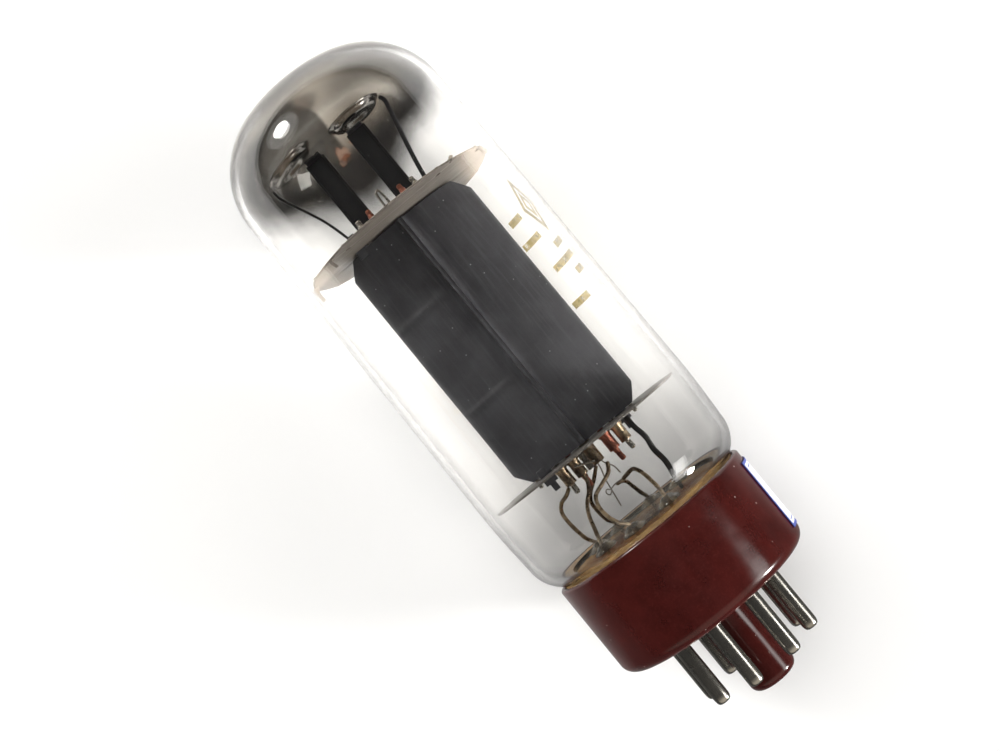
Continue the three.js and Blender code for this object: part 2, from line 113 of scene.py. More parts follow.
def softbox(name, right, up, height, distance, size, radiance, colour=(1, 1, 1), seen=True,
            round_=False):
    """Area light in a direction given along the photo's two sides and above the table.

    Its size is given across and along the tube. One that isn't seen makes no reflections.
    """
    way = (VIEW_RIGHT * right + VIEW_UP * up + TABLE_UP * height).normalized()
    lengthwise = (TUBE_AXIS - way * TUBE_AXIS.dot(way)).normalized()
    across = lengthwise.cross(way)
    data = bpy.data.lights.new(name, "AREA")
    data.shape = "ELLIPSE" if round_ else "RECTANGLE"
    data.size, data.size_y = size
    data.energy = radiance * math.pi * size[0] * size[1]
    data.color = colour
    lamp = placed(name, data)
    turn = Matrix((across, lengthwise, way)).transposed().to_4x4()
    lamp.matrix_world = Matrix.Translation(CENTRE + way * distance) @ turn
    lamp.visible_camera = False
    lamp.visible_glossy = seen
    lamp.visible_transmission = seen


def build_lights():
    warm = (1, 0.99, 0.97)
    softbox("window_left", -0.92, 0.39, 0.42, 1.5, (0.38, 0.38), 27.0, warm, round_=True)
    softbox("glow_left", -0.92, 0.37, 0.44, 1.6, (0.9, 0.9), 0.8, warm, round_=True)
    softbox("window_right", 0.835, 0.13, 0.47, 1.5, (0.40, 0.85), 4.6, warm)
    softbox("window_low_right", 0.97, -0.06, 0.235, 1.5, (0.2, 0.2), 230.0, warm)
    softbox("glow_right", 0.74, 0.17, 0.54, 1.6, (0.40, 0.5), 1.9, warm)
    softbox("overhead", -0.25, 0.15, 1, 1.3, (1.3, 1.3), 2.65, (1, 0.99, 0.975), seen=False)
    softbox("behind", 0.3, 0.2, -1, 1.2, (1.2, 1.2), 0.8, seen=False)


# ---------------- shader helpers

def rgba(colour):
    """A colour with its alpha, or a socket as it is."""
    return (*colour, 1) if isinstance(colour, tuple) else colour


class Nodes:
    """A node tree built from short calls. Lengths in its textures are in millimetres."""

    def __init__(self, tree):
        self.tree = tree
        self.coordinates = self.node("TexCoord").outputs

    def put(self, socket, value):
        if isinstance(value, bpy.types.NodeSocket):
            self.tree.links.new(value, socket)
        else:
            socket.default_value = value

    def node(self, kind, inputs=None, **settings):
        node = self.tree.nodes.new("ShaderNode" + kind)
        for key, value in settings.items():
            setattr(node, key, value)
        for key, value in (inputs or {}).items():
            self.put(node.inputs[key], value)
        return node

    def space(self, stretch=(1, 1, 1)):
        scale = [s / MM for s in stretch]
        inputs = {"Vector": self.coordinates["Object"], "Scale": scale}
        return self.node("Mapping", inputs).outputs[0]

    def axes(self):
        return tuple(self.node("SeparateXYZ", {"Vector": self.space()}).outputs)

    def noise(self, scale, detail=4, roughness=0.55, stretch=(1, 1, 1)):
        return self.node("TexNoise", {
            "Vector": self.space(stretch), "Scale": scale, "Detail": detail,
            "Roughness": roughness,
        }).outputs["Fac"]

    def specks(self, scale, size):
        """1 in small scattered spots, 0 elsewhere."""
        cells = self.node("TexVoronoi", {"Vector": self.space(), "Scale": scale})
        return self.remap(cells.outputs["Distance"], size, size * 0.5)

    def remap(self, value, low, high, to_low=0, to_high=1, kind="LINEAR"):
        return self.node("MapRange", {
            "Value": value, "From Min": low, "From Max": high,
            "To Min": to_low, "To Max": to_high,
        }, interpolation_type=kind).outputs["Result"]

    def step(self, value, low, high, to_low=0, to_high=1):
        """A remap that eases in and out."""
        return self.remap(value, low, high, to_low, to_high, "SMOOTHSTEP")

    def spread(self, value, to_low=0, to_high=1):
        """A remap of the values that a noise mostly has."""
        return self.remap(value, 0.3, 0.7, to_low, to_high)

    def math(self, operation, *values):
        return self.node("Math", dict(enumerate(values)), operation=operation).outputs[0]

    def plus(self, a, b):
        return self.math("ADD", a, b)

    def minus(self, a, b):
        return self.math("SUBTRACT", a, b)

    def times(self, a, b):
        return self.math("MULTIPLY", a, b)

    def length(self, a, b):
        return self.math("SQRT", self.plus(self.math("POWER", a, 2), self.math("POWER", b, 2)))

    def blend(self, factor, first, second):
        inputs = {"Factor": factor, 6: rgba(first), 7: rgba(second)}
        return self.node("Mix", inputs, data_type="RGBA").outputs[2]


class Shader(Nodes):
    """The nodes of one material."""

    def __init__(self, name):
        self.material = bpy.data.materials.new(name)
        self.material.use_nodes = True
        self.material.node_tree.nodes.clear()
        super().__init__(self.material.node_tree)

    def bump(self, height, depth, under=None):
        inputs = {"Height": height, "Distance": depth * MM}
        if under:
            inputs["Normal"] = under
        return self.node("Bump", inputs).outputs[0]

    def principled(self, colour, **inputs):
        """Underscores in the names stand for the spaces in the sockets' names."""
        inputs = {key.replace("_", " "): value for key, value in inputs.items()}
        inputs["Base Color"] = rgba(colour)
        return self.node("BsdfPrincipled", inputs).outputs[0]

    def solid(self, colour, **inputs):
        return self.finish(self.principled(colour, **inputs))

    def clear(self, colour=(1, 1, 1)):
        return self.node("BsdfTransparent", {"Color": rgba(colour)}).outputs[0]

    def mixed(self, share, first, second):
        return self.node("MixShader", {0: share, 1: first, 2: second}).outputs[0]

    def finish(self, surface):
        self.node("OutputMaterial", {"Surface": surface})
        return self.material


def build_world():
    """White to the eye, a dim room to reflections and next to nothing as a lamp."""
    world = bpy.data.worlds.new("Studio")
    world.use_nodes = True
    scene.world = world
    s = Nodes(world.node_tree)
    path = s.node("LightPath").outputs

    def toward(axis, low, high):
        """0 to 1 as a direction turns towards an axis."""
        inputs = {0: s.coordinates["Generated"], 1: axis}
        dot = s.node("VectorMath", inputs, operation="DOT_PRODUCT")
        return s.step(dot.outputs["Value"], low, high)

    dim, lit_wall = (0.035, 0.034, 0.033), (0.60, 0.545, 0.465)
    past_pins = s.blend(toward(-TUBE_AXIS, 0.25, 0.6), dim, lit_wall)
    past_dome = s.blend(toward(TUBE_AXIS, 0.25, 0.6), past_pins, lit_wall)
    room = s.blend(toward(TABLE_UP, 0.0, 0.3), dim, past_dome)
    seen = s.blend(path["Glossy Depth"], (1.0, 1.0, 1.0), room)
    lit = s.blend(path["Diffuse Depth"], seen, (0.06, 0.058, 0.056))
    s.put(world.node_tree.nodes["Background"].inputs["Color"], lit)
    scene.view_settings.view_transform = "Standard"


# ---------------- materials

def glass_material(name, tint, streaks, roughness):
    """Clear glass that lets lamps through, with the faint waves of drawn tubing and a painted dark
    rim.
    """
    s = Shader(name)
    height = s.plus(s.noise(0.12, 1, 0.5, (1, 1, 0.15)), s.times(s.specks(0.5, 0.05), 0.4))
    # painted shade: the tint darkens where the glass is seen edge-on, for its dark rim
    facing = s.node("LayerWeight", {"Blend": 0.5}).outputs["Facing"]
    colour = s.blend(s.remap(facing, 0.62, 0.9), tint, tuple(c * 0.42 for c in tint))
    body = s.principled(colour, Roughness=roughness, IOR=1.5, Transmission_Weight=1.0,
                        Normal=s.bump(height, streaks))
    shadow = s.node("LightPath").outputs["Is Shadow Ray"]
    return s.finish(s.mixed(shadow, body, s.clear((0.97, 0.97, 0.965))))


def stem_material():
    """Pressed glass seen over its cement: clear, with a gloss, dimples and small bubbles."""
    s = Shader("stem_glass")
    dimple = s.noise(0.45, 3, 0.5)
    bubbles = s.specks(0.8, 0.12)
    tint = s.blend(s.times(bubbles, 0.7), (0.93, 0.90, 0.84), (0.75, 0.70, 0.62))
    normal = s.bump(s.plus(dimple, s.times(bubbles, 0.3)), 0.25)
    gloss = s.principled((0.9, 0.9, 0.88), Roughness=0.06, Metallic=1.0, Normal=normal)
    return s.finish(s.mixed(s.remap(dimple, 0.35, 0.65, 0.03, 0.12), s.clear(tint), gloss))


def film_material():
    """Evaporated metal: a mirror that thins out to a smoky brown edge, higher at the front.

    The dark patch is a painted reflection of a getter dish in the dome; a copper spot is at the
    rear.
    """
    s = Shader("getter_film")
    x, y, z = s.axes()
    front = s.step(y, 4, -15)
    centre = s.step(s.math("ABSOLUTE", x), 1, 12, FILM.centre_drop, 0)
    start = s.plus(s.times(front, FILM.front_rise), FILM.edge)
    start = s.minus(start, s.times(centre, s.remap(y, 4, 8)))
    ragged = s.times(s.minus(s.noise(0.16, 3, 0.5), 0.5), 3.0)
    over = s.plus(s.minus(z, start), ragged)
    cover = s.times(s.step(over, 0, FILM.fade), s.remap(front, 0, 1, 0.985, 0.93))

    cloud = s.noise(0.35, 4, 0.55)
    colour = s.blend(cloud, (0.68, 0.625, 0.545), (0.78, 0.73, 0.65))
    rear_edge = s.times(s.step(z, 85, 91.5, 1, 0), s.remap(y, 0, 5))
    edge = s.math("MAXIMUM", s.step(over, 4.0, 9.0, 1, 0), rear_edge)
    colour = s.blend(edge, colour, (0.075, 0.066, 0.06))

    # painted reflection: the film darkens where a getter dish is mirrored in the dome
    across = s.math("DIVIDE", s.minus(x, PATCH.x), PATCH.half_width)
    along = s.math("DIVIDE", s.minus(z, PATCH.z), PATCH.half_height)
    shade = s.remap(s.length(across, along), 0.93, 1.0, 0.93, 0)
    shade = s.times(shade, s.remap(x, 0.1, 0.7, 1, 0))
    shade = s.times(shade, s.remap(y, -3, 2))
    colour = s.blend(shade, colour, (0.075, 0.07, 0.062))

    # a copper-brown spot on the rear of the film
    away = s.length(s.minus(x, COPPER_SPOT.x), s.minus(z, COPPER_SPOT.z))
    away = s.plus(away, s.times(s.minus(s.noise(0.7, 4, 0.65), 0.5), 7))
    copper_spot = s.times(s.remap(away, 1.1, COPPER_SPOT.radius, 1, 0), s.remap(y, 10, 12))
    brown = s.remap(s.noise(1.1, 4), 0.42, 0.55)
    copper = s.blend(brown, (0.40, 0.15, 0.07), (0.50, 0.34, 0.26))
    colour = s.blend(copper_spot, colour, copper)
    metal = s.principled(colour, Metallic=0.75, Roughness=s.spread(s.noise(0.5, 5), 0.16, 0.24),
                         Normal=s.bump(cloud, 0.03))
    return s.finish(s.mixed(cover, s.clear(), metal))


def phenolic_material():
    """Polished maroon moulding with a faint mottle, fine scratches and dust."""
    s = Shader("phenolic")
    mottle = s.spread(s.noise(0.25, 5, 0.6))
    colour = s.blend(mottle, (0.026, 0.0034, 0.0028), (0.048, 0.0068, 0.0056))
    grain = s.remap(s.noise(3.0, 4, 0.6), 0.5, 0.75, 0, 0.25)
    colour = s.blend(grain, colour, (0.09, 0.018, 0.015))
    colour = s.blend(s.times(s.specks(0.45, 0.06), 0.6), colour, (0.45, 0.36, 0.33))
    scratches = s.noise(1.5, 2, 0.5, (0.25, 0.25, 4))
    rough = s.spread(s.noise(0.4, 4), 0.12, 0.21)
    normal = s.bump(scratches, 0.003, s.bump(s.noise(0.12, 2), 0.10))
    return s.solid(colour, Roughness=rough, IOR=1.47, Normal=normal)


def metal_material(name, light, dark, roughness=(0.18, 0.34), tint=None, scale=1.0,
                   stretch=(1, 1, 0.2), wear=0.01, rim=1.0):
    """Drawn or plated metal with tarnish, drawing lines and uneven gloss.

    rim is the brightness of its reflections at a grazing angle.
    """
    s = Shader(name)
    tarnish = s.noise(0.5 * scale, 5, 0.6)
    lines = s.noise(6 * scale, 3, 0.6, stretch)
    colour = s.blend(s.remap(tarnish, 0.35, 0.68), light, dark)
    if tint:
        colour = s.blend(s.remap(s.noise(0.23 * scale, 3), 0.48, 0.62, 0, 0.85), colour, tint)
    uneven = s.plus(s.times(tarnish, 0.7), s.times(lines, 0.3))
    normal = s.bump(lines, wear, s.bump(tarnish, wear * 4))
    return s.solid(colour, Metallic=1.0, Normal=normal,
                   Roughness=s.remap(uneven, 0.35, 0.65, *roughness),
                   Specular_Tint=(rim, rim, rim, 1))


def carbon_material(name, light, dark, gloss=(0.38, 0.55), speck=0.5):
    """Matte carbonised nickel: near black with faint rolling lines, rubbed spots and specks."""
    s = Shader(name)
    cloud = s.noise(0.14, 5, 0.6)
    lines = s.noise(2.2, 4, 0.6, (1, 1, 0.06))
    colour = s.blend(s.remap(cloud, 0.35, 0.65), dark, light)
    colour = s.blend(s.remap(lines, 0.5, 0.8, 0, 0.5), colour, tuple(c * 1.8 for c in light))
    colour = s.blend(s.times(s.specks(0.6, 0.07), speck), colour, (0.45, 0.45, 0.46))
    height = s.plus(s.times(lines, 0.5), s.noise(7, 3, 0.7))
    return s.solid(colour, Metallic=0.25, Roughness=s.spread(s.noise(0.5, 4), *gloss),
                   Normal=s.bump(height, 0.012, s.bump(cloud, 0.15)))


def mica_material(name, dark, light, share):
    """Cloudy sheet that lets a share of the light through.

    The top sheet's underside, where it lies on the anode, is darkened: a painted reflection of the
    black anode.
    """
    s = Shader(name)
    cloud = s.noise(0.18, 3, 0.5)
    flakes = s.remap(s.noise(1.2, 3, 0.6), 0.6, 0.8, 0, 0.06)
    colour = s.blend(flakes, s.blend(s.spread(cloud), dark, light), (0.80, 0.74, 0.66))
    x, _, z = s.axes()
    under = s.remap(z, MICA.high + 0.05, MICA.high + 0.15, 1, 0.1)
    # painted reflection of the black anode: the underside darkens over it and lets less light
    # through there
    anode_reflection = s.times(s.step(s.math("ABSOLUTE", x), 10, 14.5, 0.92, 0), under)
    colour = s.blend(anode_reflection, colour, (0.05, 0.044, 0.038))
    body = s.principled(colour, Roughness=s.spread(cloud, 0.36, 0.5), Normal=s.bump(cloud, 0.006))
    clear = s.times(s.spread(cloud, share, share * 0.8), s.minus(1.0, anode_reflection))
    return s.finish(s.mixed(clear, body, s.clear((0.86, 0.80, 0.74))))


def cement_material():
    """Amber cement, grainy and darker towards the middle."""
    s = Shader("cement")
    x, y, _ = s.axes()
    cloud = s.noise(0.5, 5, 0.65)
    rim = s.blend(s.spread(cloud), (0.25, 0.125, 0.038), (0.46, 0.29, 0.115))
    colour = s.blend(s.remap(s.length(x, y), 14.0, 8.0), rim, (0.17, 0.060, 0.016))
    colour = s.blend(s.specks(1.2, 0.2), colour, (0.75, 0.62, 0.35))
    height = s.plus(s.noise(2.4, 5, 0.7), cloud)
    return s.solid(colour, Roughness=s.spread(cloud, 0.35, 0.7), Normal=s.bump(height, 0.25))


def sticker_material():
    """White paper with a blue frame and a thin line inside it; nothing is written."""
    s = Shader("sticker_paper")
    u, v, _ = s.node("SeparateXYZ", {"Vector": s.coordinates["UV"]}).outputs
    size = (STICKER.width, STICKER.high - STICKER.low)
    edges = [s.math("MINIMUM", place, s.minus(far, place)) for place, far in zip((u, v), size)]
    edge = s.math("MINIMUM", *edges)
    outer_line = s.remap(edge, 0.42, 0.5, 1, 0)
    inner_line = s.times(s.remap(edge, 0.95, 1.0), s.remap(edge, 1.12, 1.17, 1, 0))
    fibre = s.noise(2.5, 5, 0.6)
    paper = s.blend(fibre, (0.80, 0.81, 0.86), (0.90, 0.90, 0.92))
    blue = s.blend(s.noise(4, 3), (0.03, 0.05, 0.30), (0.10, 0.14, 0.45))
    colour = s.blend(s.math("MAXIMUM", outer_line, inner_line), paper, blue)
    return s.solid(colour, Roughness=s.spread(fibre, 0.35, 0.5), Normal=s.bump(fibre, 0.02))


def gold_material():
    """Thin gilt print, rubbed through in places."""
    s = Shader("gilt_print")
    worn = s.noise(1.1, 5, 0.6)
    colour = s.blend(worn, (0.78, 0.58, 0.18), (0.92, 0.78, 0.38))
    body = s.principled(colour, Metallic=0.15, Roughness=s.spread(worn, 0.3, 0.5))
    return s.finish(s.mixed(s.remap(worn, 0.36, 0.5, 0.35, 0.95), s.clear(), body))


def ceramic_material():
    """Baked coating of the heater wire, mottled grey and rough."""
    s = Shader("heater_coating")
    grain = s.noise(5, 4, 0.6)
    colour = s.blend(grain, (0.10, 0.085, 0.07), (0.30, 0.26, 0.22))
    return s.solid(colour, Roughness=s.spread(grain, 0.4, 0.7), Normal=s.bump(grain, 0.02))


def stage_material():
    """Matte white table, seen from its upper side only, so that the tube shows from below too.

    Mirrored in the base and pins it fades out, like a sheet of paper in a darker room. Seen
    through the bulb it glows a little, for the daylight that a real bulb lets in from all sides.
    """
    s = Shader("table")
    path = s.node("LightPath").outputs
    colour = s.blend(s.noise(0.02, 3), (0.93, 0.93, 0.925), (0.95, 0.95, 0.95))
    x, _, z = s.axes()
    dim = s.times(path["Is Glossy Ray"], s.remap(s.length(x, z), 10, 60, 0.75, 0.95))
    dim = s.times(dim, s.step(z, -10, 50, 1, 0))
    colour = s.blend(dim, colour, (0.02, 0.02, 0.02))
    body = s.node("BsdfDiffuse", {"Color": colour}).outputs[0]
    beside_anode = s.step(s.math("ABSOLUTE", x), 9, 12.5)
    glow = s.times(beside_anode, s.step(z, 20, 34, 0.1, 1))
    glow = s.times(glow, s.math("MINIMUM", path["Transmission Depth"], 1.0))
    inputs = {"Color": (1, 0.965, 0.92, 1), "Strength": s.times(glow, 0.25)}
    daylight = s.node("Emission", inputs).outputs[0]
    body = s.node("AddShader", {0: body, 1: daylight}).outputs[0]
    under = s.node("NewGeometry").outputs["Backfacing"]
    hidden = s.math("MAXIMUM", under, path["Is Shadow Ray"])
    return s.finish(s.mixed(hidden, body, s.clear()))


# ---------------- shape helpers, in millimetres

def around(radius, angle, z=0.0):
    """A point at an angle from -Y towards +X, as the pins are counted."""
    a = math.radians(angle)
    return Vector((radius * math.sin(a), -radius * math.cos(a), z))


def pin_angle(index):
    return FIRST_PIN + 360 / PIN.count * index


def evenly(start, end, count):
    """Both ends and the places between them, count steps in all."""
    return [start + (end - start) * i / count for i in range(count + 1)]


def arc(r, z, radius, start, end, steps):
    turns = [math.radians(angle) for angle in evenly(start, end, steps)]
    return [(r + radius * math.cos(a), z + radius * math.sin(a)) for a in turns]


def circle(radius, x=0.0, y=0.0, count=24):
    return [(x + px, y + py) for px, py in arc(0, 0, radius, 0, 360, count)[:-1]]


def lathe(profile, segments=96, closed=False):
    """Turned shape from (radius, z) points. A closed one joins the last point to the first."""
    vertices, faces, rings = [], [], []
    for r, z in profile:
        count = segments if r > 0 else 1
        rings.append(range(len(vertices), len(vertices) + count))
        vertices.extend(around(r, 360 * i / segments, z) for i in range(count))
    for a, b in zip(rings, rings[1:] + rings[:1] if closed else rings[1:]):
        for i in range(segments):
            j = (i + 1) % segments
            quad = [a[i % len(a)], a[j % len(a)], b[j % len(b)], b[i % len(b)]]
            corner = list(dict.fromkeys(quad))
            if len(corner) > 2:
                faces.append(corner)
    return vertices, faces


def sheet(front, back, tall, ring=False):
    """Thin closed sheet between two grids of points that are listed column after column.

    tall is the number of points in a column. A ring's last column joins its first one.
    """
    count = len(front)
    faces = []
    for here in range(0, count if ring else count - tall, tall):
        there = (here + tall) % count
        for j in range(tall - 1):
            quad = [here + j, there + j, there + j + 1, here + j + 1]
            faces += [quad, [count + k for k in reversed(quad)]]
        for j in (0, tall - 1):
            faces.append([here + j, there + j, count + there + j, count + here + j])
    for column in () if ring else (0, count - tall):
        for k in range(column, column + tall - 1):
            faces.append([k, k + 1, count + k + 1, count + k])
    return [*front, *back], faces


def moved(shape, matrix):
    return [matrix @ v for v in shape[0]], shape[1]


def at_pin(shape, index, circle=PIN.circle):
    return moved(shape, Matrix.Translation(around(circle, pin_angle(index))))


def joined(*shapes):
    vertices, faces = [], []
    for shape_vertices, shape_faces in shapes:
        start = len(vertices)
        vertices.extend(shape_vertices)
        faces.extend([start + i for i in f] for f in shape_faces)
    return vertices, faces


def between(a, b, start, end, at):
    return a * ((end - at) / (end - start)) + b * ((at - start) / (end - start))


def smooth_path(points, steps):
    """Centripetal Catmull-Rom curve through the points, with so many steps to a millimetre."""
    points = [Vector(p) for p in points]
    longer = [points[0] * 2 - points[1], *points, points[-1] * 2 - points[-2]]
    out = []
    for k in range(len(points) - 1):
        p = longer[k:k + 4]
        t = [0.0]
        for a, b in zip(p, p[1:]):
            t.append(t[-1] + max((b - a).length, 1e-6) ** 0.5)
        count = max(2, round(steps * (p[2] - p[1]).length))
        for at in evenly(t[1], t[2], count)[:-1]:
            a = [between(p[j], p[j + 1], t[j], t[j + 1], at) for j in range(3)]
            b = [between(a[j], a[j + 1], t[j], t[j + 2], at) for j in range(2)]
            out.append(between(b[0], b[1], t[1], t[2], at))
    out.append(points[-1])
    return out


def tube(path, radius, sides=12, section=(1, 1), uneven=0.0):
    """Wire along a path with rounded ends. section scales the two axes for flat wire."""
    wide, thick = section
    reach = radius * thick
    last = len(path) - 1
    tangents = [(path[min(i + 1, last)] - path[max(i - 1, 0)]).normalized()
                for i in range(len(path))]
    normal = tangents[0].cross(Vector((0, 1, 0)))
    if normal.length < 0.1:
        normal = tangents[0].cross(Vector((1, 0, 0)))
    normal.normalize()
    stations = []
    for i, (point, tangent) in enumerate(zip(path, tangents)):
        if i:
            normal = tangents[i - 1].rotation_difference(tangent) @ normal
        size = 1 + uneven * noise.noise(point * 0.9)
        stations.append((point, tangent, normal.copy(), size))

    def cap(station, way):
        """Three rings that round an end off, the smallest first."""
        point, tangent, n, size = station
        return [(point + tangent * (way * depth * reach), tangent, n, size * share)
                for depth, share in ((0.0, 0.35), (0.35, 0.8), (0.75, 0.97))]

    inner = [s for s in stations
             if (s[0] - path[0]).length > reach and (s[0] - path[-1]).length > reach]
    rings = [*cap(stations[0], 1), *inner, *cap(stations[-1], -1)[::-1]]
    vertices, faces = [], []
    for point, tangent, n, size in rings:
        binormal = tangent.cross(n)
        for k in range(sides):
            a = 2 * math.pi * k / sides
            spoke = n * (math.cos(a) * wide) + binormal * (math.sin(a) * thick)
            vertices.append(point + spoke * (radius * size))
    end = len(vertices) - sides
    for start in range(0, end, sides):
        for k in range(sides):
            a, b = start + k, start + (k + 1) % sides
            faces.append([a, b, b + sides, a + sides])
    faces.append(list(range(sides))[::-1])
    faces.append(list(range(end, end + sides)))
    return vertices, faces


def wire(points, radius, sides=12, steps=3, section=(1, 1), uneven=0.03):
    return tube(smooth_path(points, steps), radius, sides, section, uneven)


def rod(radius, low, high, x):
    count = max(4, int((high - low) / 2))
    return tube([Vector((x, 0, z)) for z in evenly(low, high, count)], radius, 16, uneven=0.02)


def slab(size, centre, bevel=0.08):
    """Block with rounded edges."""
    bm = bmesh.new()
    bmesh.ops.create_cube(bm, size=1)
    bmesh.ops.scale(bm, vec=size, verts=bm.verts)
    bmesh.ops.bevel(bm, geom=list(bm.edges), offset=bevel, segments=2, profile=0.6,
                    affect="EDGES", clamp_overlap=True)
    shape = ([Vector(centre) + v.co for v in bm.verts],
             [[v.index for v in f.verts] for f in bm.faces])
    bm.free()
    return shape


def plate(outline, holes, low, high, bevel=0.03):
    """Flat sheet with holes, from closed outlines of (x, y) points."""
    curve = bpy.data.curves.new("outline", "CURVE")
    curve.dimensions = "2D"
    curve.fill_mode = "BOTH"
    curve.extrude = ((high - low) / 2 - bevel) * MM
    curve.bevel_depth = bevel * MM
    curve.bevel_resolution = 1
    curve.offset = -bevel * MM
    for ring in [outline, *holes]:
        spline = curve.splines.new("POLY")
        spline.points.add(len(ring) - 1)
        for point, (x, y) in zip(spline.points, ring):
            point.co = (x * MM, y * MM, 0, 1)
        spline.use_cyclic_u = True
    holder = placed("outline", curve)
    mesh = evaluated_mesh(holder)
    lift = Vector((0, 0, (low + high) / 2))
    shape = [v.co / MM + lift for v in mesh.vertices], [list(p.vertices) for p in mesh.polygons]
    bpy.data.objects.remove(holder)
    bpy.data.meshes.remove(mesh)
    bpy.data.curves.remove(curve)
    return shape


def evaluated_mesh(obj):
    """A new mesh of the object as its curve settings or modifiers leave it."""
    bpy.context.view_layer.update()
    return bpy.data.meshes.new_from_object(
        obj.evaluated_get(bpy.context.evaluated_depsgraph_get()))


def shape_mesh(name, shape):
    """Mesh in metres with its faces pointing out."""
    mesh = bpy.data.meshes.new(name)
    mesh.from_pydata([v * MM for v in shape[0]], [], shape[1])
    bm = bmesh.new()
    bm.from_mesh(mesh)
    bmesh.ops.remove_doubles(bm, verts=bm.verts, dist=1e-7)
    bmesh.ops.recalc_face_normals(bm, faces=bm.faces)
    bm.to_mesh(mesh)
    bm.free()
    return mesh


def smooth_shade(mesh, sharp):
    """Smooth shading, but for edges over an angle."""
    mesh.shade_smooth()
    mesh.set_sharp_from_angle(angle=math.radians(sharp))


def piece(name, shape, material, nodes=(), sharp=38):
    """Makes the mesh object, and says what it stands for and what it rides on."""
    mesh = shape_mesh(name, shape)
    smooth_shade(mesh, sharp)
    mesh.materials.append(material)
    obj = placed(name, mesh)
    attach(obj, "root")
    if nodes:
        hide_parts(*nodes)
    return obj


def drill(obj, shape, sharp=35):
    """Cuts a shape out of a piece."""
    tool = placed("drill", shape_mesh("drill", shape))
    cut = obj.modifiers.new("cut", "BOOLEAN")
    cut.operation = "DIFFERENCE"
    cut.object = tool
    cut.solver = "EXACT"
    result = evaluated_mesh(obj)
    obj.modifiers.clear()
    old, obj.data = obj.data, result
    result.name = old.name + "_cut"
    bpy.data.meshes.remove(old)
    bpy.data.meshes.remove(tool.data)
    smooth_shade(result, sharp)


# ---------------- glass

def dome_side(inset, shoulder_steps=28, crown_steps=14):
    shoulder = arc(SHOULDER_R, SHOULDER_Z, BULB.shoulder - inset, 0, SHOULDER_TURN,
                   shoulder_steps)
    crown = arc(0, CROWN_Z, BULB.crown - inset, SHOULDER_TURN, 90, crown_steps)[1:]
    crown[-1] = (0.0, crown[-1][1])
    return shoulder + crown


def wall_radius(z):
    """Outer radius of the long wall, fullest at the waist."""
    waist, slim, waist_z = BULB.waist_radius, BULB.top_radius, BULB.waist_z
    if z >= waist_z:
        return waist + (slim - waist) * (z - waist_z) / (SHOULDER_Z - waist_z)
    share = (z - BULB.heel_z) / (waist_z - BULB.heel_z)
    return slim + (waist - slim) * math.sin(share * math.pi / 2)


def bulb_side(inset):
    heel = BULB.heel - inset
    mouth = -math.degrees(math.acos((BULB.mouth_radius - HEEL_R) / heel))
    heights = [*evenly(BULB.heel_z, BULB.waist_z, 6)[1:],
               *evenly(BULB.waist_z, SHOULDER_Z, 12)[1:-1]]
    wall = [(wall_radius(z) - inset, z) for z in heights]
    return arc(HEEL_R, BULB.heel_z, heel, mouth, 0, 16) + wall + dome_side(inset)


def build_glass():
    shape = lathe([*bulb_side(0), *bulb_side(BULB.wall)[::-1]], 160, closed=True)
    glass = glass_material("bulb_glass", (0.990, 0.986, 0.978), 0.003, 0.0)
    piece("bulb", shape, glass, ["glass_envelope"], 50)


def build_film():
    gap = 0.03
    inset = BULB.wall - gap
    side = [(BULB.top_radius + 0.05 - inset, z) for z in (76.5, 78, 80, 82)]
    shape = lathe([*side, *dome_side(inset, 36, 18)], 128)
    piece("getter_film", shape, film_material(), ["getter_mirror"], 60)


def build_stem():
    disc = [(0, 14.5), (11.9, 14.5), (12.45, 14.7), (12.6, 15.0), (12.45, 15.35), (11.6, 15.55),
            (8, 15.62), (0, 15.66)]
    tip = [(0, 8.5), (0.6, 8.7), (1.1, 9.3), (1.7, 10.8), (2.3, 12.8), (2.6, 14.6), (0, 14.6)]
    piece("glass_stem", joined(lathe(disc, 96), lathe(tip, 32)), stem_material(), ["stem_disc"],
          60)
    r, top = STEM.bead, STEM.bead_top
    profile = [(0, 14.9), (r * 1.5, 15.3), (r * 1.42, 15.75), (r * 1.1, 16.0), (r * 0.86, 16.3),
               (r * 0.7, 16.55), (r * 0.45, top), (0, top)]
    beads = [at_pin(lathe(profile, 32), index, STEM.circle) for index in LEAD_PINS]
    glass = glass_material("bead_glass", (0.16, 0.135, 0.10), 0.03, 0.02)
    piece("lead_beads", joined(*beads), glass, sharp=60)


def build_gilt_mark():
    """Abstract mark printed on the far wall: a lozenge and short bars."""
    def outline(corners, hollow):
        """Frame round corners of (angle, z). hollow is its opening's share of its size."""
        middle = [sum(c[k] for c in corners) / len(corners) for k in (0, 1)]
        ring = []
        for (angle, z), (next_angle, next_z) in zip(corners, corners[1:] + corners[:1]):
            for at in list(zip(evenly(angle, next_angle, 10), evenly(z, next_z, 10)))[:-1]:
                ring += [at, tuple(m + (p - m) * hollow for m, p in zip(middle, at))]
        layers = [[around(wall_radius(z) + lift, angle, z) for angle, z in ring]
                  for lift in (0.015, 0.04)]
        return sheet(*layers, 2, ring=True)

    angle, z = 105, 61.5
    shapes = [outline([(angle, z + tall), (angle - wide, z), (angle, z - tall), (angle + wide, z)],
                      hollow) for wide, tall, hollow in ((10, 5, 0.7), (5, 2.5, 0.5))]
    tall = 1.1
    for z, start, end in ((61, 121, 133), (57, 118, 136), (54, 98, 112), (51.5, 98, 128),
                          (49, 101, 112), (45.5, 118, 135)):
        shapes.append(outline([(start, z), (end, z), (end, z + tall), (start, z + tall)], 0.02))
    piece("gilt_mark", joined(*shapes), gold_material(), sharp=60)


# ---------------- base, key and pins

